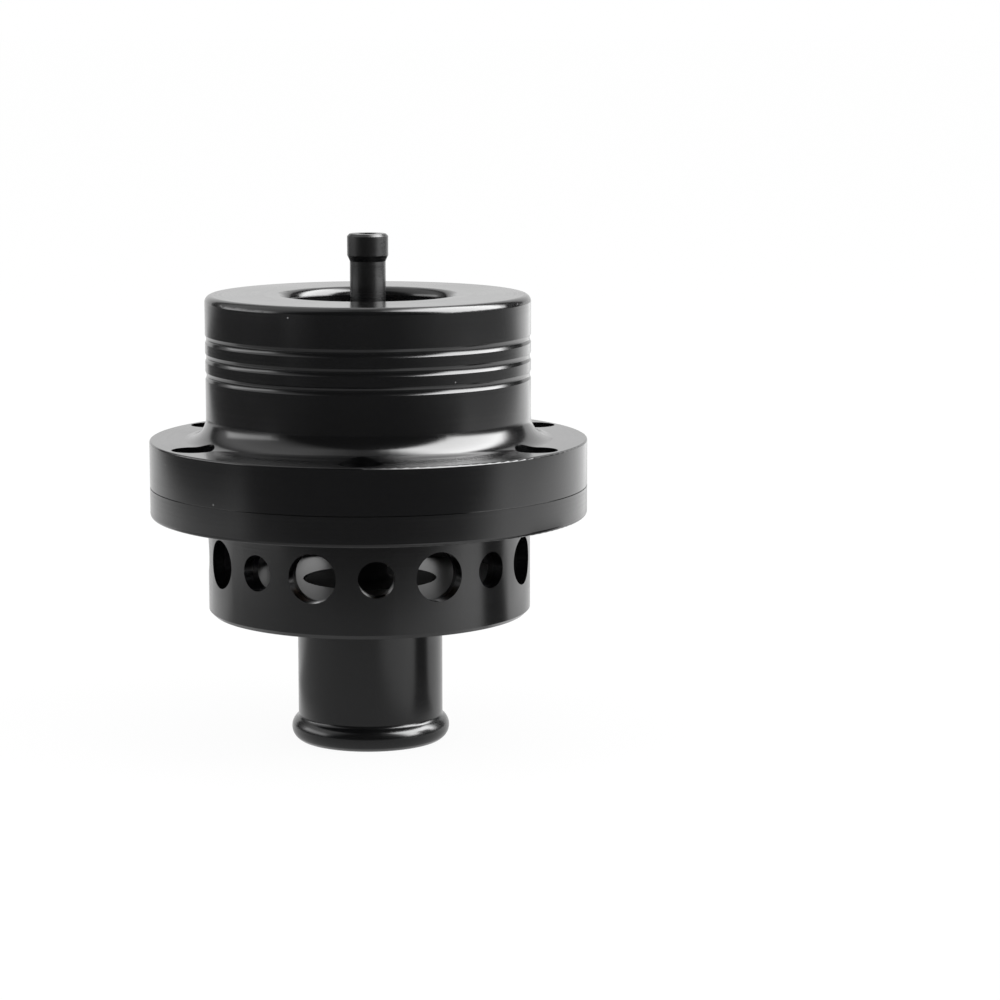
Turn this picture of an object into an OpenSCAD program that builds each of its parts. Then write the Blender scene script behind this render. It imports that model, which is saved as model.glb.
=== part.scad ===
// Blow off valve: a vented diaphragm valve for a 25 mm charge air hose.
// It stands on the end of its hose spigot, with +Z up along its axis and its front towards -Y.
// Sizes are in millimetres.

/* [Hose spigot] */
// Outside diameter of the hose spigot
spigot_d = 25; // [22:0.5:30]
// Wall of the hose spigot
spigot_wall = 2.3; // [1.8:0.1:3]
// Length of the spigot below the vent ring
spigot_len = 22.4; // [16:0.1:40]
// Height of the bead that holds the hose
bead_h = 4; // [3:0.1:6]
// How far the bead stands out of the spigot
bead_rise = 1.15; // [0.5:0.05:1.6]
// Fillet over the bead
bead_fillet = 0.7; // [0.2:0.1:1.5]

/* [Vent ring] */
// How much smaller the ring is than the cap, at the radius
ring_step = 0.1; // [0:0.05:0.6]
// Wall of the ring
ring_wall = 3.2; // [2.6:0.1:4.5]
// Thickness of the vent chamber's floor
floor_t = 5.5; // [4.5:0.1:9]
// Diameter of the large vents
vent_big_d = 8.3; // [7:0.1:9.5]
// Diameter of the small vents
vent_small_d = 6.1; // [3:0.1:7]
// Number of vent pairs, a small and a large vent each
vent_pairs = 8; // [4:1:8]
// Turn of the vents from the front, in degrees
vent_turn = 4.7; // [0:0.1:22]
// Room over and under the large vents in the chamber
vent_margin = 0.35; // [0.2:0.05:2]
// Chamfer at the ring's lower edge
ring_chamfer = 0.7; // [0.2:0.1:1.2]

/* [Flanges] */
// Thickness of the lower flange
lower_flange_t = 5.1; // [4.6:0.1:9]
// Thickness of the upper flange
upper_flange_t = 8; // [7:0.1:12]
// Room between the cap's wall and the screw recesses
neck_gap = 1.6; // [0.6:0.1:3]
// Land outside the screw recesses
flange_edge = 0.9; // [0.8:0.1:4]
// Fillet between the cap and its flange
neck_fillet = 3.8; // [2:0.1:5]
// Rounding of the upper flange's top edge
flange_top_round = 0.3; // [0.2:0.1:1]
// Rounding of the lower flange's bottom edge
flange_round = 0.65; // [0.3:0.05:1.2]
// Height of the fine gap round the seam
seam_gap_h = 0.15; // [0.05:0.05:0.4]
// Depth of the fine gap round the seam
seam_gap_w = 0.4; // [0.1:0.1:0.8]

/* [Flange screws] */
// Number of screws
screw_count = 6; // [4:1:8]
// Thread diameter
screw_d = 4; // [3:0.5:5]
// Head diameter
screw_head_d = 7; // [5.5:0.1:8.5]
// Head height
screw_head_h = 4; // [3:0.1:5]
// Width across the flats of the socket
screw_socket = 3; // [2:0.5:4]
// How far the heads lie below the flange
screw_sink = 1.5; // [0:0.1:2]

/* [Cap] */
// Diameter of the cap
cap_d = 55.6; // [52:0.2:70]
// Height of the cap above its flange
cap_h = 24.65; // [22:0.05:40]
// Wall of the cap
cap_wall = 3.5; // [3:0.1:5]
// Wall under the recess on top
cap_top_t = 4.4; // [3.5:0.1:7]
// Rounding of the cap's top edge
cap_round = 1.2; // [0.3:0.1:2]
// Diameter of the recess on top
recess_d = 28.4; // [20:0.2:36]
// Depth of the recess on top
recess_depth = 6; // [5:0.1:8]
// Rounding of the recess's edge
recess_round = 1.4; // [0.3:0.1:3]
// Number of grooves round the cap
groove_count = 3; // [0:1:4]
// Distance from the top down to the first groove
groove_drop = 7.4; // [4:0.05:10]
// Distance between the grooves
groove_pitch = 3.1; // [2:0.1:4]
// Width of a groove
groove_w = 1.4; // [0.6:0.05:1.8]
// Depth of a groove
groove_depth = 0.2; // [0.1:0.05:0.55]

/* [Vacuum nipple] */
// Diameter of the nipple's neck
nipple_d = 6.1; // [5:0.1:7]
// Diameter of the nipple's head
nipple_head_d = 7; // [6.4:0.1:9]
// Height of the nipple above the cap
nipple_rise = 10.25; // [8:0.05:20]
// Height of the head above its taper
nipple_head_h = 3.65; // [2:0.05:5]
// Height of the head's taper
nipple_taper = 1; // [0.5:0.1:2]
// Diameter of the air passage
nipple_bore = 3; // [2:0.1:4]
// Diameter of the nipple's thread
nipple_thread = 6; // [5:0.5:8]
// Width across the flats of the nipple's hexagon
nipple_hex = 8; // [7.5:0.5:12]
// Height of the nipple's hexagon
nipple_hex_h = 3.2; // [2:0.1:3.4]
// Thickness of the sealing washer
nipple_washer_t = 1; // [0.5:0.1:1.4]

/* [Valve] */
// How far the valve lifts
valve_lift = 6.3; // [4:0.1:6.6]
// Diameter of the stem
stem_d = 6; // [5:0.5:8]
// Diameter of the thread at the stem's top
stem_thread = 4; // [3:0.5:4.5]
// Width of the flat seat round the bore
seat_land = 1.3; // [1:0.1:1.8]
// Thickness of the poppet's head over the seal
head_t = 1.2; // [0.8:0.1:2]
// Thickness of the seal
seal_t = 1.2; // [0.8:0.1:1.8]
// Fillet between the head and the stem
head_fillet = 1.5; // [0.5:0.1:1.8]
// Width across the flats of the stem's nut
nut_hex = 7; // [6.5:0.5:8]
// Height of the stem's nut
nut_h = 3.2; // [2.4:0.1:4]
// Diameter of the stem's washer
washer_d = 9; // [8.5:0.5:12]
// Thickness of the stem's washer
washer_t = 0.8; // [0.5:0.1:1.2]

/* [Diaphragm] */
// Thickness of the diaphragm
diaphragm_t = 1.2; // [0.8:0.1:1.6]
// Width of the part that bends
flex_w = 6; // [5:0.1:8]
// How far the middle lies below the rim when the valve is shut
flex_drop = 1.8; // [1.4:0.1:2]
// Width of the bead at the rim
rim_bead_w = 1.8; // [1.2:0.1:2.4]
// Height of the bead under the rim
rim_bead_h = 0.9; // [0.5:0.1:1.2]
// Thickness of the two plates
plate_t = 1; // [0.8:0.1:1.2]
// Height of the upper plate's turned-up rim
plate_rim_h = 2; // [1:0.1:4]

/* [Stem guide] */
// Thickness of the guide plate
guide_t = 2.4; // [2:0.1:4]
// Width of the ledge that carries the guide plate
guide_ledge = 1.2; // [0.8:0.1:1.6]
// Number of breather holes in the guide plate
breather_count = 6; // [3:1:8]
// Diameter of the breather holes
breather_d = 5; // [3:0.1:6]
// Wall of the bush
bush_wall = 1.75; // [1:0.05:2.5]
// Thickness of the bush's collar
bush_collar_t = 0.8; // [0.6:0.1:0.9]
// Thickness of the circlip
circlip_t = 1; // [0.8:0.1:1.2]
// Radial width of the circlip
circlip_w = 2.2; // [1.6:0.1:3]

/* [Spring] */
// Mean diameter of the spring
spring_d = 28; // [24:0.5:30]
// Diameter of the spring's wire
spring_wire = 2.2; // [1.6:0.1:2.6]
// Turns of the spring, closed ends included
spring_turns = 6.5; // [5:0.5:7]
// Thickness of the shim over the spring
shim_t = 0.8; // [0.5:0.1:1.2]

/* [Clearances] */
// Running clearance of the stem in its bush, at the radius
running_gap = 0.04; // [0.02:0.01:0.08]
// Clearance of pieces that are fitted and stay put, at the radius
fit_gap = 0.05; // [0.02:0.01:0.1]
// Clearance of moving pieces from fixed ones
moving_gap = 0.3; // [0.2:0.05:0.5]

/* [Hidden] */
$fn = 96;

anodised_black = "#27282b";
oxide_black = "#1c1c1e";
bare_steel = "#b9bbbd";
bare_aluminium = "#c9cacc";
bronze = "#b08d57";
copper = "#b87333";
rubber_black = "#161617";

// How far a cut reaches past the face that it opens
cut = 1;

// Radii of the turned bodies
bowl_step = 0.5;
circlip_bite = 0.45;
spigot_r = spigot_d / 2;
bore_r = spigot_r - spigot_wall;
cap_r = cap_d / 2;
cap_in_r = cap_r - cap_wall;
recess_r = recess_d / 2;
ring_r = cap_r - ring_step;
chamber_r = ring_r - ring_wall;
guide_r = chamber_r + guide_ledge;
bowl_r = guide_r + bowl_step;
circlip_groove_r = bowl_r + circlip_bite;

// Screws round the cap, and the flanges round the screws
screw_recess_gap = 0.1;
screw_hole_gap = 0.25;
screw_tip_gap = 0.3;
screw_recess_r = screw_head_d / 2 + screw_recess_gap;
screw_hole_r = screw_d / 2 + screw_hole_gap;
screw_tap_r = screw_d / 2 + fit_gap;
bolt_r = cap_r + neck_gap + screw_recess_r;
flange_r = bolt_r + screw_recess_r + flange_edge;

// Heights of the bodies: the chamber has room for the vents and for the poppet's lift under the bush
lift_room = head_fillet + valve_lift + moving_gap + bush_collar_t;
chamber_h = max(vent_big_d + 2 * vent_margin, lift_room);
ring_z = spigot_len;
floor_z = ring_z + floor_t;
vent_z = floor_z + chamber_h / 2;
guide_z = floor_z + chamber_h;
flange_z = guide_z + guide_t;
seam_z = flange_z + lower_flange_t;
deck_z = seam_z + upper_flange_t;
cap_z = deck_z + cap_h;
recess_z = cap_z - recess_depth;
ceiling_z = recess_z - cap_top_t;
screw_seat_z = deck_z - screw_sink - screw_head_h;

// Diaphragm, its plates and what holds them on the stem
rim_land = 1;
plate_margin = 0.7;
pilot_h = 1.2;
pilot_gap = 0.5;
stem_tip = 1;
thread_gap = 0.1;
rim_r = bolt_r - screw_tap_r - rim_land;
flex_out_r = bowl_r - moving_gap;
flex_in_r = flex_out_r - flex_w;
plate_r = flex_in_r - plate_margin;
middle_z = seam_z - diaphragm_t - flex_drop;
shoulder_z = middle_z - plate_t;
plate_z = middle_z + diaphragm_t;
spring_z = plate_z + plate_t;
pilot_r = spring_d / 2 - spring_wire / 2 - pilot_gap;
washer_z = spring_z + pilot_h;
nut_z = washer_z + washer_t;
stem_top_z = nut_z + nut_h + stem_tip;
thread_r = stem_thread / 2;
thread_hole_r = thread_r + thread_gap;

// The seat and the poppet in it
lip_t = 0.7;
lip_gap = 0.2;
seal_hold = 0.4;
seal_inset = 0.2;
stem_r = stem_d / 2;
seat_r = bore_r + seat_land;
seat_z = floor_z - head_t - seal_t;
head_r = seat_r - moving_gap;
lip_r = bore_r - moving_gap;
lip_z = seat_z - lip_gap;
seal_neck_r = lip_r - seal_hold;

// The spigot is pressed into a socket that goes half way up to the seat
socket_z = (ring_z + seat_z) / 2;

// Stem guide
bush_collar_w = 1.7;
bush_in_r = stem_r + running_gap;
bush_out_r = bush_in_r + bush_wall;
bush_collar_r = bush_out_r + bush_collar_w;
bush_z = guide_z - bush_collar_t;
bush_top_z = shoulder_z - moving_gap;
breather_r = (bush_collar_r + chamber_r) / 2;

// The stop that ends the lift, and the spring round it, closed at both ends and evenly wound between
stop_gap = 0.2;
stop_wall = 2.5;
closed_turns = 0.9;
closed_pitch = spring_wire * 1.04;
stop_z = stem_top_z + valve_lift + stop_gap;
stop_r = nipple_thread / 2 + stop_wall;
shim_z = ceiling_z - shim_t;
wire_low_z = spring_z + spring_wire / 2;
wire_high_z = shim_z - spring_wire / 2;
closed_h = closed_turns * closed_pitch;
open_pitch = (wire_high_z - wire_low_z - 2 * closed_h) / (spring_turns - 2 * closed_turns);

// Nipple
nipple_tip_gap = 0.4;
nipple_washer_margin = 0.6;
nipple_thread_r = nipple_thread / 2;
nipple_foot_z = recess_z + nipple_washer_t;
nipple_top_z = cap_z + nipple_rise;

// Angle of a place counted from the front, -Y, towards +X
function from_front(angle) = angle - 90;

// A cut that rounds an outer corner of a turned section at [r, z], a top one (+1) or a bottom one (-1)
module corner_round(r, z, round_r, up) {
    translate([r - round_r, z - up * round_r])
        mirror([0, up > 0 ? 0 : 1])
            difference() {
                square(round_r + cut);
                circle(round_r);
            }
}

// A fillet in the corner at [r, z] of a turned section, which opens outwards and up (+1) or down (-1)
module corner_fillet(r, z, fillet, up) {
    overlap = 0.5;
    translate([r, z])
        mirror([0, up > 0 ? 0 : 1])
            difference() {
                translate([-overlap, -overlap])
                    square(fillet + overlap);
                translate([fillet, fillet])
                    circle(fillet);
            }
}

// A flat ring
module washer_ring(in_r, out_r, z, thickness) {
    translate([0, 0, z])
        difference() {
            cylinder(r = out_r, h = thickness);
            translate([0, 0, -cut])
                cylinder(r = in_r, h = thickness + 2 * cut);
        }
}

// A hexagonal prism
module hexagon(flats, z, height) {
    translate([0, 0, z])
        cylinder(d = flats / cos(30), h = height, $fn = 6);
}

// Copies at each screw's place
module at_screws() {
    for (i = [0 : screw_count - 1])
        rotate([0, 0, from_front(i * 360 / screw_count)])
            translate([bolt_r, 0, 0])
                children();
}

module groove_section() {
    groove_r = (groove_w * groove_w / 4 + groove_depth * groove_depth) / (2 * groove_depth);
    for (i = [0 : 1 : groove_count - 1])
        translate([cap_r - groove_depth + groove_r, cap_z - groove_drop - i * groove_pitch])
            circle(groove_r);
}

module recess_section() {
    translate([0, recess_z])
        square([recess_r, recess_depth + cut]);
    translate([recess_r + recess_round, cap_z - recess_round])
        difference() {
            translate([-recess_round - cut, 0])
                square(recess_round + cut);
            circle(recess_round);
        }
}

module spring_room_section() {
    bowl_h = 4.5;
    difference() {
        polygon([
            [0, seam_z - cut],
            [bowl_r, seam_z - cut],
            [bowl_r, seam_z + bowl_h],
            [cap_in_r, seam_z + bowl_h + bowl_r - cap_in_r],
            [cap_in_r, ceiling_z],
            [0, ceiling_z]
        ]);
        translate([0, stop_z])
            square([stop_r, ceiling_z - stop_z + cut]);
        translate([0, shim_z - pilot_h])
            square([pilot_r, ceiling_z - shim_z + pilot_h + cut]);
    }
}

module upper_housing_section() {
    difference() {
        union() {
            polygon([
                [0, seam_z],
                [flange_r - seam_gap_w, seam_z],
                [flange_r - seam_gap_w, seam_z + seam_gap_h],
                [flange_r, seam_z + seam_gap_h],
                [flange_r, deck_z],
                [cap_r, deck_z],
                [cap_r, cap_z],
                [0, cap_z]
            ]);
            corner_fillet(cap_r, deck_z, neck_fillet, 1);
        }
        corner_round(flange_r, deck_z, flange_top_round, 1);
        corner_round(cap_r, cap_z, cap_round, 1);
        spring_room_section();
        recess_section();
        groove_section();
    }
}

module upper_housing() {
    color(anodised_black)
        difference() {
            rotate_extrude()
                upper_housing_section();
            at_screws() {
                translate([0, 0, screw_seat_z])
                    cylinder(r = screw_recess_r, h = cap_z);
                translate([0, 0, seam_z - cut])
                    cylinder(r = screw_hole_r, h = upper_flange_t);
            }
            // Tapped hole for the nipple, then the air passage through the stop
            translate([0, 0, ceiling_z])
                cylinder(r = nipple_thread_r + fit_gap, h = cap_top_t + cut);
            translate([0, 0, stop_z - cut])
                cylinder(d = nipple_bore, h = ceiling_z - stop_z + 2 * cut);
            // Slot that lets air past the stem when it is against the stop
            translate([-stop_r - cut, -nipple_bore / 2, stop_z - cut])
                cube([2 * (stop_r + cut), nipple_bore, nipple_bore + cut]);
        }
}

// A round bead, with a fillet over it that touches both its arc and the spigot's wall
module hose_bead_section() {
    bead_r = (bead_h * bead_h / 4 + bead_rise * bead_rise) / (2 * bead_rise);
    middle = [spigot_r + bead_rise - bead_r, bead_h / 2];
    fillet_x = spigot_r + bead_fillet;
    fillet_z = middle.y + sqrt(pow(bead_r + bead_fillet, 2) - pow(fillet_x - middle.x, 2));
    intersection() {
        translate(middle)
            circle(bead_r);
        square([flange_r, bead_h]);
    }
    difference() {
        polygon([middle, [fillet_x, fillet_z], [middle.x, fillet_z]]);
        translate([fillet_x, fillet_z])
            circle(bead_fillet);
    }
}

module inlet_spigot_section() {
    mouth_chamfer = 0.5;
    spigot_fillet = 0.8;
    difference() {
        union() {
            square([spigot_r, socket_z - fit_gap]);
            hose_bead_section();
            // The fillet under the ring is the spigot's shoulder
            intersection() {
                corner_fillet(spigot_r, ring_z, spigot_fillet, -1);
                square([flange_r, ring_z]);
            }
        }
        polygon([
            [0, -cut],
            [bore_r + mouth_chamfer, -cut],
            [bore_r + mouth_chamfer, 0],
            [bore_r, mouth_chamfer],
            [bore_r, socket_z],
            [0, socket_z]
        ]);
    }
}

module inlet_spigot() {
    color(anodised_black)
        rotate_extrude()
            inlet_spigot_section();
}

module lower_body_section() {
    difference() {
        polygon([
            [0, ring_z],
            [ring_r - ring_chamfer, ring_z],
            [ring_r, ring_z + ring_chamfer],
            [ring_r, flange_z],
            [flange_r, flange_z],
            [flange_r, seam_z],
            [0, seam_z]
        ]);
        corner_round(flange_r, flange_z, flange_round, -1);
        // Socket of the spigot, then the bore up to the poppet's seat
        polygon([
            [0, ring_z - cut],
            [spigot_r + fit_gap, ring_z - cut],
            [spigot_r + fit_gap, socket_z],
            [bore_r, socket_z],
            [bore_r, seat_z],
            [seat_r, seat_z],
            [seat_r, floor_z + cut],
            [0, floor_z + cut]
        ]);
        // Vent chamber, seat of the guide plate, circlip groove and the bowl under the diaphragm
        translate([0, floor_z])
            square([chamber_r, chamber_h + cut]);
        translate([0, guide_z])
            square([guide_r, guide_t + cut]);
        translate([0, flange_z])
            square([circlip_groove_r, circlip_t + fit_gap]);
        translate([0, flange_z + circlip_t])
            square([bowl_r, lower_flange_t]);
        // Seat of the diaphragm's rim and its bead
        translate([0, seam_z - diaphragm_t])
            square([rim_r + fit_gap, diaphragm_t + cut]);
        translate([rim_r - rim_bead_w - fit_gap, seam_z - diaphragm_t - rim_bead_h])
            square([rim_bead_w + 2 * fit_gap, rim_bead_h + cut]);
    }
}

module vent_holes() {
    step = 180 / vent_pairs;
    for (i = [0 : 2 * vent_pairs - 1])
        rotate([0, 0, from_front(vent_turn + i * step)])
            translate([chamber_r - cut, 0, vent_z])
                rotate([0, 90, 0])
                    cylinder(d = i % 2 == 0 ? vent_small_d : vent_big_d, h = ring_wall + 2 * cut);
}

module lower_body() {
    color(anodised_black)
        difference() {
            rotate_extrude()
                lower_body_section();
            vent_holes();
            at_screws()
                translate([0, 0, flange_z - cut])
                    cylinder(r = screw_tap_r, h = lower_flange_t + 2 * cut);
        }
}

module flange_screws() {
    tip_chamfer = 0.4;
    shank_len = screw_seat_z - flange_z - screw_tip_gap;
    color(oxide_black)
        at_screws()
            translate([0, 0, screw_seat_z])
                difference() {
                    rotate_extrude()
                        polygon([
                            [0, -shank_len],
                            [screw_d / 2 - tip_chamfer, -shank_len],
                            [screw_d / 2, tip_chamfer - shank_len],
                            [screw_d / 2, 0],
                            [screw_head_d / 2, 0],
                            [screw_head_d / 2, screw_head_h - tip_chamfer],
                            [screw_head_d / 2 - tip_chamfer, screw_head_h],
                            [0, screw_head_h]
                        ]);
                    hexagon(screw_socket, screw_head_h / 2, screw_head_h);
                }
}

module vacuum_nipple() {
    lip = 0.4;
    head_z = nipple_top_z - nipple_head_h;
    tip_z = ceiling_z + nipple_tip_gap;
    color(anodised_black)
        difference() {
            union() {
                rotate_extrude()
                    polygon([
                        [0, tip_z],
                        [nipple_thread_r, tip_z],
                        [nipple_thread_r, nipple_foot_z],
                        [nipple_d / 2, nipple_foot_z],
                        [nipple_d / 2, head_z - nipple_taper],
                        [nipple_head_d / 2, head_z],
                        [nipple_head_d / 2, nipple_top_z - lip],
                        [nipple_head_d / 2 - lip, nipple_top_z],
                        [0, nipple_top_z]
                    ]);
                hexagon(nipple_hex, nipple_foot_z, nipple_hex_h);
            }
            translate([0, 0, ceiling_z])
                cylinder(d = nipple_bore, h = nipple_top_z);
        }
}

module nipple_washer() {
    out_r = nipple_hex / 2 + nipple_washer_margin;
    color(copper)
        washer_ring(nipple_thread_r + fit_gap, out_r, recess_z, nipple_washer_t);
}

// Height of the diaphragm's underside at radius r, in the part that bends
function flex_z(r) =
    middle_z + flex_drop * (1 - cos(180 * (r - flex_in_r) / (flex_out_r - flex_in_r))) / 2;

module diaphragm() {
    steps = 14;
    flex = [for (i = [0 : steps]) let (r = flex_in_r + flex_w * i / steps) [r, flex_z(r)]];
    upper_side = [for (i = [steps : -1 : 0]) flex[i] + [0, diaphragm_t]];
    rim_z = seam_z - diaphragm_t;
    color(rubber_black)
        rotate_extrude()
            polygon(concat(
                [[thread_hole_r, middle_z]],
                flex,
                [
                    [rim_r - rim_bead_w, rim_z],
                    [rim_r - rim_bead_w, rim_z - rim_bead_h],
                    [rim_r, rim_z - rim_bead_h],
                    [rim_r, seam_z]
                ],
                upper_side,
                [[thread_hole_r, plate_z]]
            ));
}

module lower_plate() {
    edge = plate_t / 2;
    color(bare_aluminium)
        rotate_extrude()
            difference() {
                translate([thread_hole_r, shoulder_z])
                    square([plate_r - thread_hole_r, plate_t]);
                corner_round(plate_r, shoulder_z, edge, -1);
            }
}

module upper_plate() {
    rim_in_r = plate_r - plate_t;
    color(bare_aluminium)
        rotate_extrude()
            polygon([
                [thread_hole_r, plate_z],
                [plate_r, plate_z],
                [plate_r, spring_z + plate_rim_h],
                [rim_in_r, spring_z + plate_rim_h],
                [rim_in_r, spring_z],
                [pilot_r, spring_z],
                [pilot_r - pilot_h / 2, washer_z],
                [thread_hole_r, washer_z]
            ]);
}

module stem_washer() {
    color(bare_steel)
        washer_ring(thread_hole_r, washer_d / 2, washer_z, washer_t);
}

module stem_nut() {
    color(bare_steel)
        difference() {
            hexagon(nut_hex, nut_z, nut_h);
            translate([0, 0, nut_z - cut])
                cylinder(r = thread_r + fit_gap, h = nut_h + 2 * cut);
        }
}

module valve_poppet() {
    tip_chamfer = 0.4;
    color(anodised_black)
        rotate_extrude() {
            polygon([
                [0, lip_z - lip_t],
                [lip_r - tip_chamfer, lip_z - lip_t],
                [lip_r, lip_z - lip_t + tip_chamfer],
                [lip_r, lip_z],
                [seal_neck_r, lip_z],
                [seal_neck_r, seat_z + seal_t],
                [head_r, seat_z + seal_t],
                [head_r, floor_z],
                [stem_r, floor_z],
                [stem_r, shoulder_z],
                [thread_r, shoulder_z],
                [thread_r, stem_top_z - tip_chamfer],
                [thread_r - tip_chamfer, stem_top_z],
                [0, stem_top_z]
            ]);
            corner_fillet(stem_r, floor_z, head_fillet, 1);
        }
}

module poppet_seal() {
    color(rubber_black)
        washer_ring(seal_neck_r + fit_gap, head_r - seal_inset, seat_z, seal_t);
}

module guide_plate() {
    edge = 0.3;
    color(bare_aluminium)
        difference() {
            rotate_extrude()
                polygon([
                    [bush_out_r + fit_gap, guide_z],
                    [guide_r - fit_gap - edge, guide_z],
                    [guide_r - fit_gap, guide_z + edge],
                    [guide_r - fit_gap, flange_z],
                    [bush_out_r + fit_gap, flange_z]
                ]);
            for (i = [0 : breather_count - 1])
                rotate([0, 0, from_front(i * 360 / breather_count)])
                    translate([breather_r, 0, guide_z - cut])
                        cylinder(d = breather_d, h = guide_t + 2 * cut);
        }
}

module guide_bush() {
    color(bronze)
        rotate_extrude()
            polygon([
                [bush_in_r, bush_z],
                [bush_collar_r, bush_z],
                [bush_collar_r, guide_z],
                [bush_out_r, guide_z],
                [bush_out_r, bush_top_z],
                [bush_in_r, bush_top_z]
            ]);
}

// Copies at the circlip's two ears, either side of its gap at the back
module at_ears(r, angle) {
    for (side = [-1, 1])
        rotate([0, 0, 90 + side * angle])
            translate([r, 0, -cut])
                children();
}

module guide_circlip() {
    out_r = circlip_groove_r - fit_gap;
    in_r = out_r - circlip_w;
    ear_r = 1.6;
    eye_r = 0.6;
    gap_half_angle = 9;
    ear_angle = gap_half_angle + 3;
    color(bare_steel)
        translate([0, 0, flange_z])
            difference() {
                cylinder(r = out_r, h = circlip_t);
                difference() {
                    translate([0, 0, -cut])
                        cylinder(r = in_r, h = circlip_t + 2 * cut);
                    at_ears(in_r, ear_angle)
                        cylinder(r = ear_r, h = circlip_t + 2 * cut);
                }
                at_ears(in_r - eye_r / 2, ear_angle)
                    cylinder(r = eye_r, h = circlip_t + 2 * cut);
                translate([0, 0, -cut])
                    linear_extrude(circlip_t + 2 * cut)
                        polygon([
                            [0, 0],
                            2 * out_r * [sin(gap_half_angle), cos(gap_half_angle)],
                            2 * out_r * [-sin(gap_half_angle), cos(gap_half_angle)]
                        ]);
            }
}

// Height of the wire's middle after a number of turns
function wire_z(turn) =
    turn < closed_turns ? wire_low_z + turn * closed_pitch
    : turn > spring_turns - closed_turns ? wire_high_z - (spring_turns - turn) * closed_pitch
    : wire_low_z + closed_h + (turn - closed_turns) * open_pitch;

module spring() {
    sides = 8;
    steps_per_turn = 20;
    steps = round(spring_turns * steps_per_turn);
    points = [
        for (i = [0 : steps])
            let (turn = spring_turns * i / steps)
                for (j = [0 : sides - 1])
                    let (r = spring_d / 2 + spring_wire / 2 * cos(j * 360 / sides))
                        [
                            r * cos(360 * turn),
                            r * sin(360 * turn),
                            wire_z(turn) + spring_wire / 2 * sin(j * 360 / sides)
                        ]
    ];
    walls = [
        for (i = [0 : steps - 1])
            for (j = [0 : sides - 1])
                let (a = i * sides + j, b = i * sides + (j + 1) % sides)
                    [a, a + sides, b + sides, b]
    ];
    start_cap = [for (j = [0 : sides - 1]) j];
    end_cap = [for (j = [sides - 1 : -1 : 0]) steps * sides + j];
    color(bare_steel)
        polyhedron(points, concat([start_cap, end_cap], walls));
}

module spring_shim() {
    color(bare_steel)
        washer_ring(pilot_r + fit_gap, spring_d / 2 + spring_wire, shim_z, shim_t);
}

upper_housing();
lower_body();
inlet_spigot();
flange_screws();
vacuum_nipple();
nipple_washer();
diaphragm();
lower_plate();
upper_plate();
stem_washer();
stem_nut();
valve_poppet();
poppet_seal();
guide_plate();
guide_bush();
guide_circlip();
spring();
spring_shim();
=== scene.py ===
"""Looks of the blow off valve: finishes for its solids, a smooth spring and diaphragm, and a studio set."""

import math

import bpy
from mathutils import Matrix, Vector
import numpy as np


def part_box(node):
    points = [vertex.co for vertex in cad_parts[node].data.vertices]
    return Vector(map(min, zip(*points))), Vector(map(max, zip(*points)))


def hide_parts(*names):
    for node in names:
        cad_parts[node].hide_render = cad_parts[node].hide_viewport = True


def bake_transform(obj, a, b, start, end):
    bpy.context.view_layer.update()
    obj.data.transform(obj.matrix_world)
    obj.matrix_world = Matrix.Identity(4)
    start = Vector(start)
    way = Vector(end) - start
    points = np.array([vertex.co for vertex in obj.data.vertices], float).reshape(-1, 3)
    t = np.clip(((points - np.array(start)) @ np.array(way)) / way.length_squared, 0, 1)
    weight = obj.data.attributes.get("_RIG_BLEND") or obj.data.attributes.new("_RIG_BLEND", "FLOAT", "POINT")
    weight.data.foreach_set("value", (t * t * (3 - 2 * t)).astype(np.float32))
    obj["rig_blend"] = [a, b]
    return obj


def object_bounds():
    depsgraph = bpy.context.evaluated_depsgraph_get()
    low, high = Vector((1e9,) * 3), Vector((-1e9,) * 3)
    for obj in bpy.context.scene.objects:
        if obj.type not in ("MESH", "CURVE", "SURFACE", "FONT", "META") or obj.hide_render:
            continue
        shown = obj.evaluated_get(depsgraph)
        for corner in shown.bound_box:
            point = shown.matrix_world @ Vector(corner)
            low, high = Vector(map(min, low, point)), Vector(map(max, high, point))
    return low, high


bl_info = {
    "name": "Blow off valve",
    "version": (1, 0, 0),
    "blender": (4, 5, 0),
    "location": "3D View > Sidebar > Valve",
    "description": "Finishes a blow off valve and sets it in a small studio",
    "category": "Object",
}

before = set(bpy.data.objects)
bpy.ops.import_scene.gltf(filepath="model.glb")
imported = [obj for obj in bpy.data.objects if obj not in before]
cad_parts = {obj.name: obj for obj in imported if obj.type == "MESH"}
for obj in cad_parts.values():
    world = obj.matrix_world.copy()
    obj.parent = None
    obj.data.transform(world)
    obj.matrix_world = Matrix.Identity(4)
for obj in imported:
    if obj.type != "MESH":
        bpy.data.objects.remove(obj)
cad_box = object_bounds()

MM = 0.001

GUIDE_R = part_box("guide_plate")[1].x
DIAPHRAGM_LOW, DIAPHRAGM_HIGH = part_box("diaphragm")
SPRING_LOW, SPRING_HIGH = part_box("spring")
MIDDLE = (Vector(cad_box[0]) + Vector(cad_box[1])) / 2

# Edges that bend less than these angles are shaded smooth
TURNED_SMOOTH = math.radians(35)
WIRE_SMOOTH = math.radians(50)

# Sizes, distances and reaches of the studio are in metres, and its directions in degrees: azimuth from the
# camera's side towards +X, and elevation
LAMP_SIZE = 0.6
LAMP_DISTANCE = 0.9
LAMP_AZIMUTH = 70.0
LAMP_ELEVATION = 45.0
SENSOR_WIDTH_MM = 36.0

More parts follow.
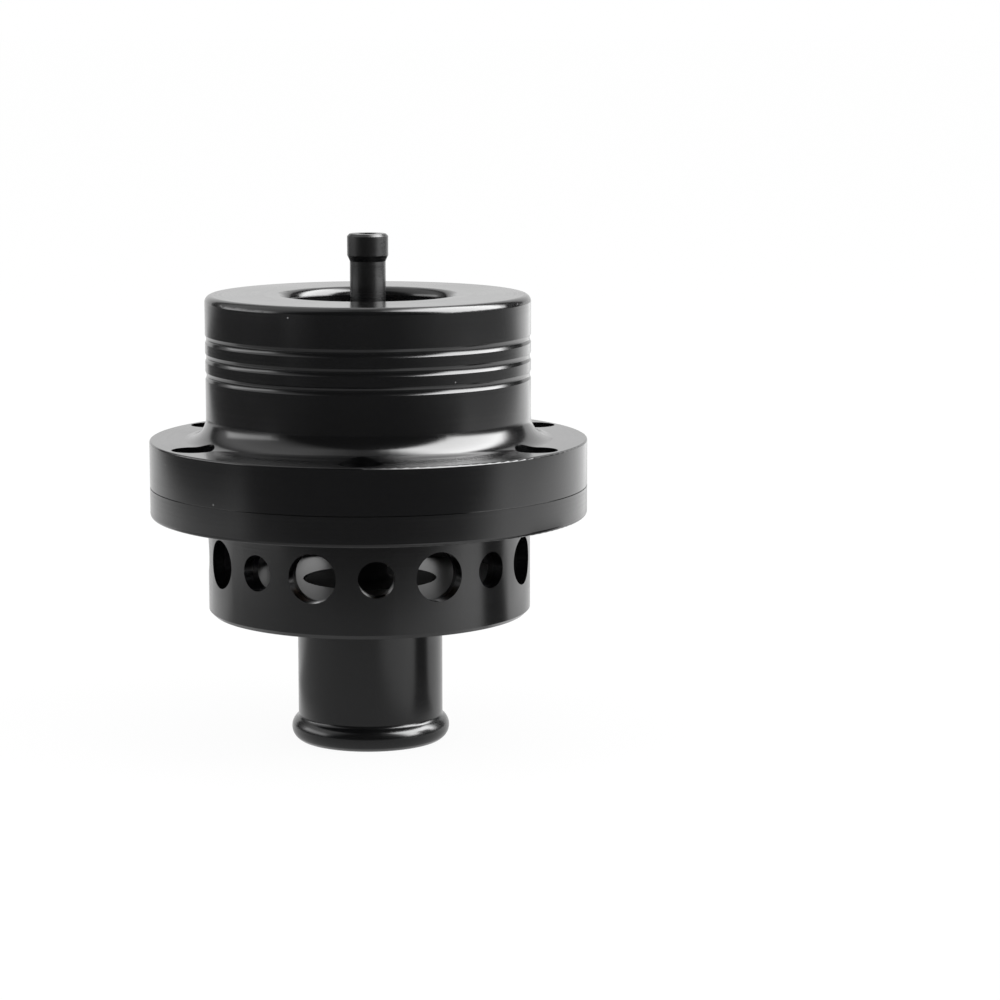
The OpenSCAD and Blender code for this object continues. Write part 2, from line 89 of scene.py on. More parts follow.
# Cards that only reflections see, flat on the floor and each a step over the one before: name, tone, reach
# along X and along Y, softness. They paint the floor's light and shade as reflections see it: painted shade
# in front, at the left, far at the right and round the valve's foot, and painted pools of light at the right
CARD_STEP = 0.1 * MM
FLOOR_CARDS = (
    # Painted shade of the floor in front, at the left and far at the right
    ("front_floor_painted_shade", 0.1, (-0.8, 0.5), (-1.3, -0.12), 0.06),
    ("left_floor", 0.1, (-1.3, -0.27), (-0.6, 0.66), 0.07),
    ("right_far_floor_painted_shade", 0.4, (0.4, 1.3), (-1.3, 0.43), 0.06),
    # Painted pools of light on the floor at the right
    ("right_floor_painted_light", 1.6, (0.09, 0.41), (-0.13, 0.52), 0.05),
    ("right_back_floor_painted_light", 1.8, (0.15, 0.75), (0.46, 1.0), 0.06),
    # Painted shade on the floor round the valve's foot
    ("near_floor_painted_shade", 0.45, (-0.2, 0.045), (-0.19, 0.01), 0.03),
    ("near_left_floor_painted_shade", 0.45, (-0.2, -0.022), (-0.14, 0.05), 0.02),
    ("flag_floor", 0.15, (0.028, 0.062), (-0.022, 0.008), 0.006),
)

# Bright panels that only reflections see and that face the valve: name, the side's tone and the share of it
# that the panel has, azimuth, elevation, distance, width, height, softness
PANELS = (
    ("right_panel", "right_tone", 1.0, 85, 40, 0.6, 0.84, 0.9, 0.2),
    ("right_top_panel", "right_tone", 0.6, 87, 57, 0.85, 1.05, 0.86, 0.26),
    ("left_panel", "left_tone", 0.32, -93, 43, 0.6, 1.2, 1.3, 0.5),
    ("left_strip", "left_tone", 1.0, -90, 14, 0.56, 0.56, 0.25, 0.1),
)

# Cards that only reflections see and that face the valve: name, tone, azimuth, elevation, distance, width,
# height, softness
STANDING_CARDS = (
    ("front_wall", 0.06, 0, 25, 1.4, 4.0, 2.4, 0.1),
    ("left_wall", 0.06, -95, 25, 1.4, 3.0, 2.4, 0.1),
    ("right_wall", 0.06, 97, 25, 1.4, 3.0, 2.4, 0.1),
    ("ceiling", 0.3, 0, 80, 1.4, 3.0, 1.1, 0.2),
    ("right_flag", 0.08, 83, -25, 0.065, 0.028, 0.04, 0.003),
)


class ValveFinish(bpy.types.PropertyGroup):
    """Colours and sheen of the valve's finishes."""

    anodised: bpy.props.FloatVectorProperty(
        name="Anodised black",
        description="Colour of the anodised housing",
        subtype="COLOR",
        size=3,
        min=0.0,
        max=1.0,
        default=(0.0024, 0.0025, 0.0028),
    )
    anodised_roughness: bpy.props.FloatProperty(
        name="Anodised roughness",
        description="Roughness of the cap and the upper flange",
        subtype="FACTOR",
        min=0.0,
        max=1.0,
        default=0.17,
    )
    nipple_roughness: bpy.props.FloatProperty(
        name="Nipple roughness",
        description="Roughness of the vacuum nipple",
        subtype="FACTOR",
        min=0.0,
        max=1.0,
        default=0.3,
    )
    body_roughness: bpy.props.FloatProperty(
        name="Body roughness",
        description="Roughness of the vent ring, the lower flange and the hose spigot",
        subtype="FACTOR",
        min=0.0,
        max=1.0,
        default=0.21,
    )
    chamber_roughness: bpy.props.FloatProperty(
        name="Chamber roughness",
        description="Roughness of the chamber inside the vent ring",
        subtype="FACTOR",
        min=0.0,
        max=1.0,
        default=0.37,
    )
    poppet: bpy.props.FloatVectorProperty(
        name="Poppet black",
        description="Colour of the poppet",
        subtype="COLOR",
        size=3,
        min=0.0,
        max=1.0,
        default=(0.005, 0.005, 0.0055),
    )
    aluminium: bpy.props.FloatVectorProperty(
        name="Plain aluminium",
        description="Colour of the uncoated aluminium inside",
        subtype="COLOR",
        size=3,
        min=0.0,
        max=1.0,
        default=(0.6, 0.6, 0.62),
    )
    zinc: bpy.props.FloatVectorProperty(
        name="Zinc plate",
        description="Colour of the plated steel pieces",
        subtype="COLOR",
        size=3,
        min=0.0,
        max=1.0,
        default=(0.55, 0.56, 0.58),
    )
    oxide: bpy.props.FloatVectorProperty(
        name="Black oxide",
        description="Colour of the flange screws",
        subtype="COLOR",
        size=3,
        min=0.0,
        max=1.0,
        default=(0.012, 0.012, 0.013),
    )
    bronze: bpy.props.FloatVectorProperty(
        name="Bronze",
        description="Colour of the guide bush",
        subtype="COLOR",
        size=3,
        min=0.0,
        max=1.0,
        default=(0.5, 0.32, 0.14),
    )
    copper: bpy.props.FloatVectorProperty(
        name="Copper",
        description="Colour of the nipple's washer",
        subtype="COLOR",
        size=3,
        min=0.0,
        max=1.0,
        default=(0.62, 0.28, 0.16),
    )
    rubber: bpy.props.FloatVectorProperty(
        name="Rubber",
        description="Colour of the diaphragm and the poppet's seal",
        subtype="COLOR",
        size=3,
        min=0.0,
        max=1.0,
        default=(0.015, 0.015, 0.016),
    )


class ValveInside(bpy.types.PropertyGroup):
    """Sizes of the spring and the diaphragm that the frame's boxes don't give."""

    wire: bpy.props.FloatProperty(
        name="Wire",
        description="Diameter of the spring's wire",
        unit="LENGTH",
        default=2.2 * MM,
    )
    turns: bpy.props.FloatProperty(
        name="Turns",
        description="Turns of the spring, closed ends included",
        default=6.5,
    )
    closed_turns: bpy.props.FloatProperty(
        name="Closed turns",
        description="Turns at each end of the spring that lie on each other",
        default=0.9,
    )
    rubber_t: bpy.props.FloatProperty(
        name="Diaphragm thickness",
        description="Thickness of the diaphragm",
        unit="LENGTH",
        default=1.2 * MM,
    )
    clamp_w: bpy.props.FloatProperty(
        name="Clamped width",
        description="Width of the diaphragm's rim between the flanges",
        unit="LENGTH",
        default=4.05 * MM,
    )
    bead_w: bpy.props.FloatProperty(
        name="Bead width",
        description="Width of the bead at the diaphragm's rim",
        unit="LENGTH",
        default=1.8 * MM,
    )
    bead_h: bpy.props.FloatProperty(
        name="Bead height",
        description="Height of the bead under the diaphragm's rim",
        unit="LENGTH",
        default=0.9 * MM,
    )
    flex_w: bpy.props.FloatProperty(
        name="Bending width",
        description="Width of the part of the diaphragm that bends",
        unit="LENGTH",
        default=6 * MM,
    )
    hole_r: bpy.props.FloatProperty(
        name="Hole radius",
        description="Radius of the diaphragm's hole round the stem",
        unit="LENGTH",
        default=2.1 * MM,
    )


class ValveStage(bpy.types.PropertyGroup):
    """Camera and light of the studio."""

    camera_place: bpy.props.FloatVectorProperty(
        name="Camera place",
        description="Place of the camera",
        subtype="TRANSLATION",
        unit="LENGTH",
        size=3,
        default=(22.51 * MM, -520.0 * MM, 121.5 * MM),
    )
    camera_pitch: bpy.props.FloatProperty(
        name="Camera pitch",
        description="How far the camera looks down",
        subtype="ANGLE",
        default=math.radians(8.75),
    )
    lens: bpy.props.FloatProperty(
        name="Lens",
        description="Focal length for a 36 mm wide sensor, in millimetres",
        default=109.94,
    )
    floor: bpy.props.FloatVectorProperty(
        name="Floor",
        description="Colour of the floor",
        subtype="COLOR",
        size=3,
        min=0.0,
        max=1.0,
        default=(0.95, 0.95, 0.95),
    )
    right_tone: bpy.props.FloatProperty(
        name="Right panels",
        description="Brightness of the panels at the right, as reflections show it",
        min=0.0,
        default=14.0,
    )
    left_tone: bpy.props.FloatProperty(
        name="Left panels",
        description="Brightness of the panels at the left, as reflections show it",
        min=0.0,
        default=3.3,
    )
    lamp_power: bpy.props.FloatProperty(
        name="Lamps",
        description="Power of the soft lamp that lights the colours from the right, twice the left one's",
        unit="POWER",
        default=3.0,
    )


# Shared steps

def deselect_all():
    bpy.ops.object.select_all(action="DESELECT")


def limited(share):
    """Keeps a share between 0 and 1."""
    return min(max(share, 0.0), 1.0)


def direction(azimuth, elevation):
    """Unit vector away from the valve; azimuth is counted from the camera's side towards +X, in degrees."""
    turn = math.radians(azimuth)
    lift = math.radians(elevation)
    return Vector((math.sin(turn) * math.cos(lift), -math.cos(turn) * math.cos(lift), math.sin(lift)))


def turned(name, profile, steps):
    """Adds a closed profile of (radius, height) points and spins it round the valve's axis."""
    merge_distance = 0.001 * MM
    deselect_all()
    bpy.ops.mesh.primitive_circle_add(vertices=len(profile), fill_type="NOTHING")
    piece = bpy.context.object
    piece.name = name
    piece.data.name = name
    for vertex, (radius, height) in zip(piece.data.vertices, profile):
        vertex.co = (radius, 0.0, height)
    bpy.ops.object.mode_set(mode="EDIT")
    bpy.ops.mesh.select_all(action="SELECT")
    bpy.ops.mesh.spin(steps=steps, angle=math.tau, center=(0, 0, 0), axis=(0, 0, 1))
    bpy.ops.mesh.select_all(action="SELECT")
    bpy.ops.mesh.remove_doubles(threshold=merge_distance)
    bpy.ops.mesh.normals_make_consistent(inside=False)
    bpy.ops.object.mode_set(mode="OBJECT")
    bpy.ops.object.shade_smooth_by_angle(angle=TURNED_SMOOTH)
    return piece


def give(material, *names):
    """Puts one material on CAD nodes or pieces."""
    for name in names:
        mesh = bpy.data.objects[name].data
        mesh.materials.clear()
        mesh.materials.append(material)


# Shader node groups

def new_group(name, inputs, outputs):
    """A shader node group with float inputs as (name, default) and outputs as (name, kind)."""
    group = bpy.data.node_groups.new(name, "ShaderNodeTree")
    for label, default in inputs:
        socket = group.interface.new_socket(label, in_out="INPUT", socket_type="NodeSocketFloat")
        socket.default_value = default
    for label, kind in outputs:
        group.interface.new_socket(label, in_out="OUTPUT", socket_type=kind)
    entry = group.nodes.new("NodeGroupInput")
    leave = group.nodes.new("NodeGroupOutput")
    return group, entry, leave


def math_node(tree, operation, first, second=None):
    """A Math node whose inputs are sockets or numbers; gives its output socket."""
    node = tree.nodes.new("ShaderNodeMath")
    node.operation = operation
    for slot, value in zip(node.inputs, (first, second)):
        if value is None:
            continue
        if isinstance(value, bpy.types.NodeSocket):
            tree.links.new(value, slot)
        else:
            slot.default_value = value
    return node.outputs[0]


def object_place(tree):
    """The Object coordinates, as a socket."""
    place = tree.nodes.new("ShaderNodeTexCoord")
    return place.outputs["Object"]


def axis_distance(tree):
    """The distance from the valve's axis and the height, as sockets."""
    split = tree.nodes.new("ShaderNodeSeparateXYZ")
    tree.links.new(object_place(tree), split.inputs[0])
    x, y, z = split.outputs
    squares = math_node(tree, "ADD", math_node(tree, "MULTIPLY", x, x), math_node(tree, "MULTIPLY", y, y))
    return math_node(tree, "SQRT", squares), z


def turned_marks_group():
    """Fine rings left by the lathe: Height for bump, Tone for roughness."""
    group, entry, leave = new_group(
        "Turned marks",
        [("Rings per metre", 3000.0)],
        [("Height", "NodeSocketFloat"), ("Tone", "NodeSocketFloat")],
    )
    radius, z = axis_distance(group)
    ring_place = group.nodes.new("ShaderNodeCombineXYZ")
    rings = entry.outputs["Rings per metre"]
    group.links.new(math_node(group, "MULTIPLY", radius, rings), ring_place.inputs[0])
    group.links.new(math_node(group, "MULTIPLY", z, rings), ring_place.inputs[1])
    noise = group.nodes.new("ShaderNodeTexNoise")
    noise.noise_dimensions = "2D"
    noise.inputs["Scale"].default_value = 1.0
    noise.inputs["Detail"].default_value = 3.0
    group.links.new(ring_place.outputs[0], noise.inputs["Vector"])
    group.links.new(noise.outputs[0], leave.inputs["Height"])
    group.links.new(noise.outputs[0], leave.inputs["Tone"])
    return group


def dust_group():
    """Sparse specks of dust: Mask is 1 on a speck."""
    group, entry, leave = new_group(
        "Dust specks",
        [("Cells per metre", 330.0), ("Share", 0.06), ("Speck size", 0.045)],
        [("Mask", "NodeSocketFloat")],
    )
    cells = group.nodes.new("ShaderNodeTexVoronoi")
    group.links.new(object_place(group), cells.inputs["Vector"])
    group.links.new(entry.outputs["Cells per metre"], cells.inputs["Scale"])
    chance = group.nodes.new("ShaderNodeSeparateColor")
    group.links.new(cells.outputs["Color"], chance.inputs[0])
    chosen = math_node(group, "LESS_THAN", chance.outputs[0], entry.outputs["Share"])
    near = math_node(group, "LESS_THAN", cells.outputs["Distance"], entry.outputs["Speck size"])
    group.links.new(math_node(group, "MULTIPLY", chosen, near), leave.inputs["Mask"])
    return group


def mottle_group():
    """Soft uneven patches: Tone runs from 0 to 1."""
    group, entry, leave = new_group("Mottle", [("Scale", 120.0)], [("Tone", "NodeSocketFloat")])
    noise = group.nodes.new("ShaderNodeTexNoise")
    noise.inputs["Detail"].default_value = 4.0
    group.links.new(object_place(group), noise.inputs["Vector"])
    group.links.new(entry.outputs["Scale"], noise.inputs["Scale"])
    group.links.new(noise.outputs[0], leave.inputs["Tone"])
    return group


def shared_group(name):
    """The named effect's node group, built at its first use."""
    makers = {"Turned marks": turned_marks_group, "Dust specks": dust_group, "Mottle": mottle_group}
    return bpy.data.node_groups.get(name) or makers[name]()


def effect(tree, name, **values):
    """Places a shared effect in a material, with its inputs set by name (spaces as underscores)."""
    node = tree.nodes.new("ShaderNodeGroup")
    node.node_tree = shared_group(name)
    for key, value in values.items():
        node.inputs[key.replace("_", " ")].default_value = value
    return node


# Materials

def new_material(name):
    """A material with a Principled shader; gives the material, its tree and the shader."""
    material = bpy.data.materials.new(name)
    material.use_nodes = True
    tree = material.node_tree
    return material, tree, tree.nodes["Principled BSDF"]


def uneven_roughness(tree, tone, roughness, least, most):
    """A roughness that runs with a 0 to 1 socket, from its least to its most share."""
    node = tree.nodes.new("ShaderNodeMapRange")
    tree.links.new(tone, node.inputs["Value"])
    node.inputs["To Min"].default_value = roughness * least
    node.inputs["To Max"].default_value = roughness * most
    return node.outputs[0]


def colour_mix(tree, share, first, second):
    """Mixes two plain colours by a 0 to 1 socket."""
    node = tree.nodes.new("ShaderNodeMix")
    node.data_type = "RGBA"
    tree.links.new(share, node.inputs[0])
    node.inputs[6].default_value = (*first, 1.0)
    node.inputs[7].default_value = (*second, 1.0)
    return node.outputs[2]


def add_bump(tree, shader, height, depth):
    """Feeds a height socket to the shader's normal, at a depth in metres."""
    bump = tree.nodes.new("ShaderNodeBump")
    bump.inputs["Strength"].default_value = 1.0
    bump.inputs["Distance"].default_value = depth
    tree.links.new(height, bump.inputs["Height"])
    tree.links.new(bump.outputs[0], shader.inputs["Normal"])


def anodised_material(name, colour, roughness, mark_depth, inside_roughness=0.0):
    """Black anodised turned aluminium: a smooth dark oxide with lathe rings and a little dust.

    The chamber inside the vent ring may be rougher than the rest.
    """
    oxide_ior = 1.55
    dust_tone = 0.18
    material, tree, shader = new_material(name)
    marks = effect(tree, "Turned marks", Rings_per_metre=4200.0)
    mottle = effect(tree, "Mottle", Scale=90.0)
    dust = effect(tree, "Dust specks")
    pale = [dust_tone + channel for channel in colour]
    tree.links.new(colour_mix(tree, dust.outputs["Mask"], colour, pale), shader.inputs["Base Color"])
    tone = math_node(tree, "MULTIPLY", marks.outputs["Tone"], mottle.outputs["Tone"])
    rough = uneven_roughness(tree, tone, roughness, least=0.8, most=1.6)
    if inside_roughness:
        radius, _ = axis_distance(tree)
        within = math_node(tree, "LESS_THAN", radius, GUIDE_R)
        inside = math_node(tree, "MULTIPLY", within, inside_roughness)
        rough = math_node(tree, "MAXIMUM", rough, inside)
    tree.links.new(rough, shader.inputs["Roughness"])
    shader.inputs["IOR"].default_value = oxide_ior
    add_bump(tree, shader, marks.outputs["Height"], mark_depth)
    return material


def metal_material(name, colour, roughness, rings, mark_depth):
    """Bare or plated metal with lathe rings and a slightly uneven tone."""
    dull_share = 0.8
    material, tree, shader = new_material(name)
    marks = effect(tree, "Turned marks", Rings_per_metre=rings)
    mottle = effect(tree, "Mottle", Scale=300.0)
    dull = [channel * dull_share for channel in colour]
    tree.links.new(colour_mix(tree, mottle.outputs["Tone"], dull, colour), shader.inputs["Base Color"])
    rough = uneven_roughness(tree, marks.outputs["Tone"], roughness, least=0.7, most=1.3)
    tree.links.new(rough, shader.inputs["Roughness"])
    shader.inputs["Metallic"].default_value = 1.0
    add_bump(tree, shader, marks.outputs["Height"], mark_depth)
    return material


def dark_material(name, colour, roughness, sheen, grain, grain_depth):
    """Dull dark finish, such as black oxide or moulded rubber, with a fine grain and a weak sheen."""
    pale_share = 1.5
    material, tree, shader = new_material(name)
    grains = effect(tree, "Mottle", Scale=grain)
    patches = effect(tree, "Mottle", Scale=200.0)
    pale = [channel * pale_share for channel in colour]
    tree.links.new(colour_mix(tree, patches.outputs["Tone"], colour, pale), shader.inputs["Base Color"])
    rough = uneven_roughness(tree, patches.outputs["Tone"], roughness, least=0.85, most=1.15)
    tree.links.new(rough, shader.inputs["Roughness"])
    shader.inputs["Specular IOR Level"].default_value = sheen
    add_bump(tree, shader, grains.outputs["Tone"], grain_depth)
    return material


def rubber_material(name, colour):
    """Matt moulded rubber."""
    return dark_material(name, colour, roughness=0.7, sheen=0.2, grain=1500.0, grain_depth=0.01 * MM)


# Operators, one for each piece or group of like pieces

class VALVE_OT_anodised(bpy.types.Operator):
    """Finish the anodised housing and nipple."""

    bl_idname = "valve.anodised"
    bl_label = "Anodised pieces"

    def execute(self, context):
        finish = context.scene.valve_finish
        black = finish.anodised
        mark_depth = 0.00025 * MM
        cap = anodised_material("anodised_cap", black, finish.anodised_roughness, mark_depth)
        nipple = anodised_material("anodised_nipple", black, finish.nipple_roughness, mark_depth)
        ring = anodised_material(
            "anodised_ring", black, finish.body_roughness, mark_depth, finish.chamber_roughness
        )
        body = anodised_material("anodised_body", black, finish.body_roughness, mark_depth)
        give(cap, "upper_housing")
        give(nipple, "vacuum_nipple")
        give(ring, "lower_body")
        give(body, "inlet_spigot")
        return {"FINISHED"}


class VALVE_OT_poppet(bpy.types.Operator):
    """Finish the poppet and its seal."""

    bl_idname = "valve.poppet"
    bl_label = "Poppet and seal"

    def execute(self, context):
        finish = context.scene.valve_finish
        black = dark_material(
            "poppet_black", finish.poppet, roughness=0.7, sheen=0.03, grain=900.0, grain_depth=0.002 * MM
        )
        give(black, "valve_poppet")
        give(rubber_material("seal_rubber", finish.rubber), "poppet_seal")
        return {"FINISHED"}


class VALVE_OT_fasteners(bpy.types.Operator):
    """Finish the screws, the stem's nut and washer, the circlip and the shim."""

    bl_idname = "valve.fasteners"
    bl_label = "Fasteners"

    def execute(self, context):
        finish = context.scene.valve_finish
        oxide = dark_material(
            "black_oxide", finish.oxide, roughness=0.42, sheen=0.2, grain=2500.0, grain_depth=0.002 * MM
        )
        zinc = metal_material("zinc_plate", finish.zinc, roughness=0.3, rings=3000.0, mark_depth=0.001 * MM)
        give(oxide, "flange_screws")
        give(zinc, "stem_nut", "stem_washer", "guide_circlip", "spring_shim")
        return {"FINISHED"}


class VALVE_OT_guides(bpy.types.Operator):
    """Finish the plates, the guide bush and the nipple's washer."""

    bl_idname = "valve.guides"
    bl_label = "Plates, bush and washer"

    def execute(self, context):
        finish = context.scene.valve_finish
        plain = metal_material(
            "plain_aluminium", finish.aluminium, roughness=0.34, rings=2600.0, mark_depth=0.002 * MM
        )
        bronze = metal_material("bronze", finish.bronze, roughness=0.38, rings=3500.0, mark_depth=0.002 * MM)
        copper = metal_material("copper", finish.copper, roughness=0.3, rings=2000.0, mark_depth=0.001 * MM)
        give(plain, "lower_plate", "upper_plate", "guide_plate")
        give(bronze, "guide_bush")
        give(copper, "nipple_washer")
        return {"FINISHED"}


class VALVE_OT_spring(bpy.types.Operator):
    """Wind a smooth coil spring in the place of the faceted one."""

    bl_idname = "valve.spring"
    bl_label = "Spring"

    def execute(self, context):
        sizes = context.scene.valve_inside
        wire_r = sizes.wire / 2
        coil_r = SPRING_HIGH.x - wire_r
        low = SPRING_LOW.z + wire_r
        high = SPRING_HIGH.z - wire_r
        sides = 14
        steps_per_turn = 40
        closed_spacing = 1.04
        steps = round(sizes.turns * steps_per_turn)
        deselect_all()
        bpy.ops.mesh.primitive_circle_add(
            vertices=sides,
            radius=wire_r,
            fill_type="NOTHING",
            location=(coil_r, 0, low),
            rotation=(math.pi / 2, 0, 0),
        )
        spring = context.object
        spring.name = "coil_spring"
        bpy.ops.object.transform_apply(location=True, rotation=True, scale=True)
        bpy.ops.object.modifier_add(type="SCREW")
        screw = spring.modifiers[-1]
        screw.angle = math.tau * sizes.turns
        screw.screw_offset = high - low
        screw.steps = steps
        screw.render_steps = steps
        screw.use_smooth_shade = True
        bpy.ops.object.modifier_apply(modifier=screw.name)
        # The even winding is drawn together at its ends
        closed_pitch = sizes.wire * closed_spacing
        closed_h = sizes.closed_turns * closed_pitch
        open_turns = sizes.turns - 2 * sizes.closed_turns
        open_pitch = (high - low - 2 * closed_h) / open_turns
        point_turns = [sizes.turns * (i // sides) / steps for i in range(len(spring.data.vertices))]
        for vertex, turn in zip(spring.data.vertices, point_turns):
            even = (high - low) * turn / sizes.turns
            if turn < sizes.closed_turns:
                wound = turn * closed_pitch
            elif turn > sizes.turns - sizes.closed_turns:
                wound = high - low - (sizes.turns - turn) * closed_pitch
            else:
                wound = closed_h + (turn - sizes.closed_turns) * open_pitch
            vertex.co.z += wound - even
        bpy.ops.object.mode_set(mode="EDIT")
        bpy.ops.mesh.select_all(action="DESELECT")
        bpy.ops.mesh.select_mode(type="EDGE")
        bpy.ops.mesh.select_non_manifold()
        bpy.ops.mesh.edge_face_add()
        bpy.ops.mesh.select_all(action="SELECT")
        bpy.ops.mesh.normals_make_consistent(inside=False)
        bpy.ops.object.mode_set(mode="OBJECT")
        bpy.ops.object.shade_smooth_by_angle(angle=WIRE_SMOOTH)
        zinc = context.scene.valve_finish.zinc
        steel = metal_material("spring_steel", zinc, roughness=0.28, rings=2500.0, mark_depth=0.001 * MM)
        give(steel, spring.name)
        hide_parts("spring")
        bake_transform(spring, "housing", "valve", start=(0, 0, SPRING_HIGH.z), end=(0, 0, SPRING_LOW.z))
        # Each ring of points moves as one, so the wire stays round while the open turns draw together
        shares = spring.data.attributes["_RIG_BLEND"].data
        for share, turn in zip(shares, point_turns):
            share.value = limited((sizes.turns - sizes.closed_turns - turn) / open_turns)
        return {"FINISHED"}


class VALVE_OT_diaphragm(bpy.types.Operator):
    """Turn a smooth diaphragm that bends as the valve lifts."""

    bl_idname = "valve.diaphragm"
    bl_label = "Diaphragm"

    def execute(self, context):
        sizes = context.scene.valve_inside
        rim_r = DIAPHRAGM_HIGH.x
        top = DIAPHRAGM_HIGH.z
        middle = DIAPHRAGM_LOW.z
        thick = sizes.rubber_t
        out_r = rim_r - sizes.clamp_w
        in_r = out_r - sizes.flex_w
        rise = top - thick - middle
        bend_parts = 28
        spin_steps = 128
        under = []
        for i in range(bend_parts + 1):
            share = i / bend_parts
            under.append((in_r + sizes.flex_w * share, middle + rise * (1 - math.cos(math.pi * share)) / 2))
        over = [(radius, height + thick) for radius, height in reversed(under)]
        bead_r = rim_r - sizes.bead_w
        rim_z = top - thick
        rim = [(bead_r, rim_z), (bead_r, rim_z - sizes.bead_h), (rim_r, rim_z - sizes.bead_h), (rim_r, top)]
        profile = [(sizes.hole_r, middle), *under, *rim, *over, (sizes.hole_r, middle + thick)]
        rubber = turned("bending_diaphragm", profile, spin_steps)
        give(rubber_material("diaphragm_rubber", context.scene.valve_finish.rubber), rubber.name)
        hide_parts("diaphragm")
        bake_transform(rubber, "housing", "valve", start=(out_r, 0, top), end=(in_r, 0, top))
        # The bend goes round the axis, so each point's share comes from its radius
        shares = rubber.data.attributes["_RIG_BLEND"].data
        for vertex, share in zip(rubber.data.vertices, shares):
            across = limited((out_r - vertex.co.xy.length) / sizes.flex_w)
            share.value = across * across * (3 - 2 * across)
        return {"FINISHED"}


class VALVE_OT_stage(bpy.types.Operator):
    """Set the floor, the lights, the background and the camera."""

    bl_idname = "valve.stage"
    bl_label = "Studio"

    def execute(self, context):
        stage = context.scene.valve_stage
        self.add_floor(stage)
        self.add_world(context)
        # The floor cards paint the floor's light and shade, which only reflections see
        for level, (name, tone, (left, right), (near, far), soft) in enumerate(FLOOR_CARDS, 1):
            place = ((left + right) / 2, (near + far) / 2, level * CARD_STEP)
            self.add_card(name, tone, place, (0, 0, 1), right - left, far - near, soft)
        panels = [(name, getattr(stage, side) * share, *place) for name, side, share, *place in PANELS]
        for name, tone, azimuth, elevation, distance, width, height, soft in (*panels, *STANDING_CARDS):
            away = direction(azimuth, elevation)
            self.add_card(name, tone, MIDDLE + away * distance, -away, width, height, soft)
        self.add_lamp("right_lamp", stage.lamp_power, LAMP_AZIMUTH)
        self.add_lamp("left_lamp", stage.lamp_power / 2, -LAMP_AZIMUTH)
        self.add_camera(context, stage)
        context.scene.view_settings.view_transform = "Standard"
        return {"FINISHED"}

    @staticmethod
    def seen_rays(tree):
        """1 for camera, glossy and transmission rays, which see the floor as white."""
        path = tree.nodes.new("ShaderNodeLightPath")
        seen = math_node(tree, "MAXIMUM", path.outputs["Is Camera Ray"], path.outputs["Is Glossy Ray"])
        return math_node(tree, "MAXIMUM", seen, path.outputs["Is Transmission Ray"])

    def add_floor(self, stage):
        """A wide pale floor that reads as white and keeps a soft shadow."""
        floor_size = 80.0
        below = 0.05 * MM
        white_share = 0.93
        deselect_all()
        bpy.ops.mesh.primitive_plane_add(size=floor_size, location=(0, 0, -below))
        floor = bpy.context.object
        floor.name = "studio_floor"
        bpy.ops.object.transform_apply(location=True, rotation=True, scale=True)
        material, tree, shader = new_material("studio_floor")
        shader.inputs["Base Color"].default_value = (*stage.floor, 1.0)
        shader.inputs["Roughness"].default_value = 0.9
        shader.inputs["Specular IOR Level"].default_value = 0.0
        white = tree.nodes.new("ShaderNodeEmission")
        mix = tree.nodes.new("ShaderNodeMixShader")
        tree.links.new(math_node(tree, "MULTIPLY", self.seen_rays(tree), white_share), mix.inputs[0])
        tree.links.new(shader.outputs[0], mix.inputs[1])
        tree.links.new(white.outputs[0], mix.inputs[2])
        tree.links.new(mix.outputs[0], tree.nodes["Material Output"].inputs[0])
        give(material, floor.name)

    @staticmethod
    def add_world(context):
        """A plain white background, which is also the even light all round."""
        world = bpy.data.worlds.new("studio")
        world.use_nodes = True
        background = world.node_tree.nodes["Background"]
        background.inputs["Color"].default_value = (1.0, 1.0, 1.0, 1.0)
        background.inputs["Strength"].default_value = 1.0
        context.scene.world = world

    @staticmethod
    def add_card(name, tone, place, facing, width, height, soft):
        """A glowing card with soft edges that only reflections see, so that it lights no colour."""
        deselect_all()
        turn = Vector(facing).to_track_quat("Z", "Y").to_euler()
        bpy.ops.mesh.primitive_plane_add(size=1.0, location=place, rotation=turn)
        card = bpy.context.object
        card.name = name
        card.scale = (width, height, 1.0)
        bpy.ops.object.transform_apply(location=True, rotation=True, scale=True)
        material = bpy.data.materials.new(name)
        material.use_nodes = True
        tree = material.node_tree
        tree.nodes.remove(tree.nodes["Principled BSDF"])
        place_on_card = tree.nodes.new("ShaderNodeTexCoord")
        split = tree.nodes.new("ShaderNodeSeparateXYZ")
        tree.links.new(place_on_card.outputs["UV"], split.inputs[0])
        from_edge = None
        for along, length in zip(split.outputs, (width, height)):
            back = math_node(tree, "SUBTRACT", 1.0, along)
            near = math_node(tree, "MULTIPLY", math_node(tree, "MINIMUM", along, back), length)
            from_edge = near if from_edge is None else math_node(tree, "MINIMUM", from_edge, near)
        fade = tree.nodes.new("ShaderNodeMapRange")
        fade.interpolation_type = "SMOOTHSTEP"
        fade.inputs["From Max"].default_value = soft
        tree.links.new(from_edge, fade.inputs["Value"])
        glow = tree.nodes.new("ShaderNodeEmission")
        glow.inputs["Strength"].default_value = tone
        clear = tree.nodes.new("ShaderNodeBsdfTransparent")
        mix = tree.nodes.new("ShaderNodeMixShader")
        tree.links.new(fade.outputs[0], mix.inputs[0])
        tree.links.new(clear.outputs[0], mix.inputs[1])
        tree.links.new(glow.outputs[0], mix.inputs[2])
        tree.links.new(mix.outputs[0], tree.nodes["Material Output"].inputs[0])
        give(material, name)
        card.visible_camera = False
        card.visible_diffuse = False
        card.visible_transmission = False
        card.visible_shadow = False

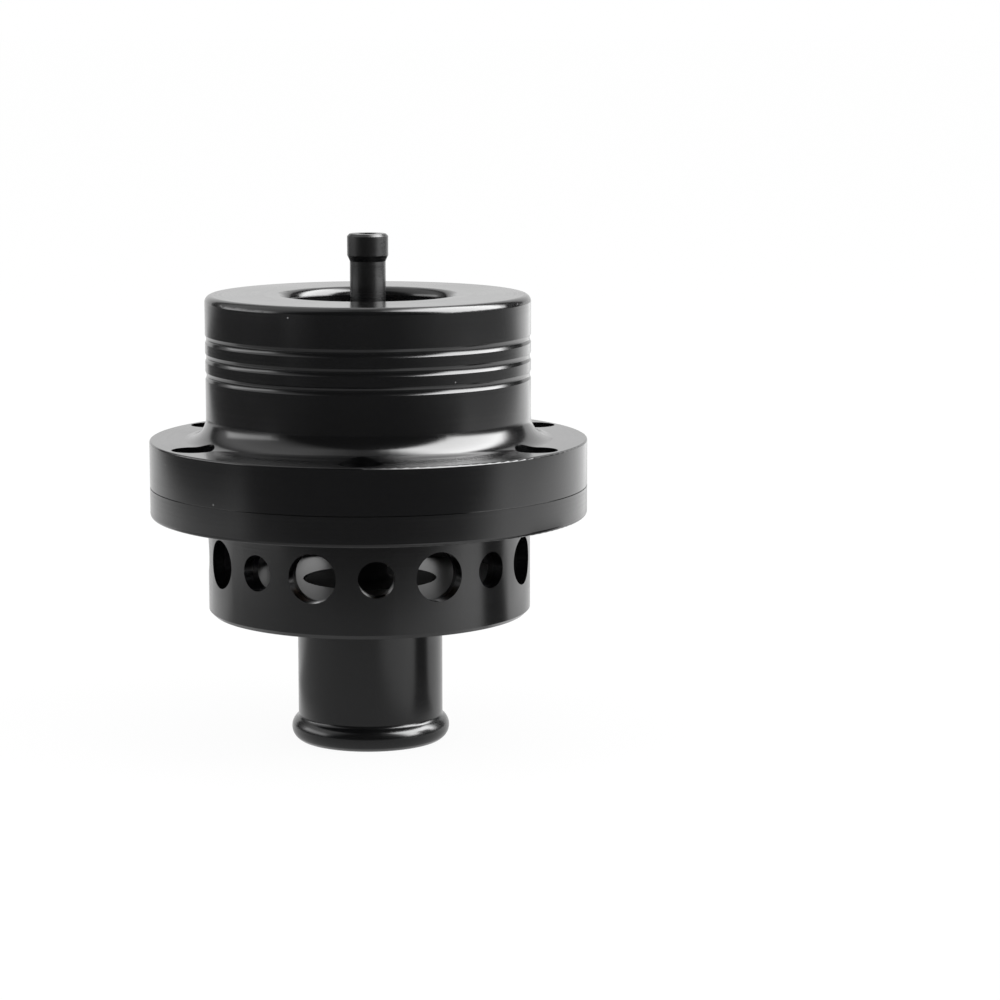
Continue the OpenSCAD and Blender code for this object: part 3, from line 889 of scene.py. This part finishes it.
    @staticmethod
    def add_lamp(name, power, azimuth):
        """A soft lamp that lights the colours and that no reflection shows."""
        away = direction(azimuth, LAMP_ELEVATION)
        data = bpy.data.lights.new(name, "AREA")
        data.size = LAMP_SIZE
        data.energy = power
        lamp = bpy.data.objects.new(name, data)
        bpy.context.scene.collection.objects.link(lamp)
        lamp.location = MIDDLE + away * LAMP_DISTANCE
        lamp.rotation_euler = away.to_track_quat("Z", "Y").to_euler()
        lamp.visible_camera = False
        lamp.visible_glossy = False

    @staticmethod
    def add_camera(context, stage):
        """The camera at the photograph's viewing angle, with a lens fitted to a square picture."""
        data = bpy.data.cameras.new("camera")
        data.lens = stage.lens
        data.sensor_width = SENSOR_WIDTH_MM
        data.clip_start = 0.01
        data.clip_end = 50.0
        camera = bpy.data.objects.new("camera", data)
        context.scene.collection.objects.link(camera)
        camera.location = stage.camera_place
        camera.rotation_euler = (math.pi / 2 - stage.camera_pitch, 0, 0)
        context.scene.camera = camera


class VALVE_PT_build(bpy.types.Panel):
    """Lists the valve's pieces and the studio."""

    bl_idname = "VALVE_PT_build"
    bl_label = "Blow off valve"
    bl_space_type = "VIEW_3D"
    bl_region_type = "UI"
    bl_category = "Valve"

    def draw(self, context):
        for operator in OPERATORS:
            self.layout.operator(operator.bl_idname)


GROUPS = {"valve_finish": ValveFinish, "valve_inside": ValveInside, "valve_stage": ValveStage}
OPERATORS = (
    VALVE_OT_anodised,
    VALVE_OT_poppet,
    VALVE_OT_fasteners,
    VALVE_OT_guides,
    VALVE_OT_spring,
    VALVE_OT_diaphragm,
    VALVE_OT_stage,
)
CLASSES = (*GROUPS.values(), *OPERATORS, VALVE_PT_build)


def register():
    for cls in CLASSES:
        bpy.utils.register_class(cls)
    for name, group in GROUPS.items():
        setattr(bpy.types.Scene, name, bpy.props.PointerProperty(type=group))


def unregister():
    for name in GROUPS:
        delattr(bpy.types.Scene, name)
    for cls in reversed(CLASSES):
        bpy.utils.unregister_class(cls)


def main():
    register()
    bpy.ops.valve.anodised()
    bpy.ops.valve.poppet()
    bpy.ops.valve.fasteners()
    bpy.ops.valve.guides()
    bpy.ops.valve.spring()
    bpy.ops.valve.diaphragm()
    bpy.ops.valve.stage()


if __name__ == "__main__":
    main()
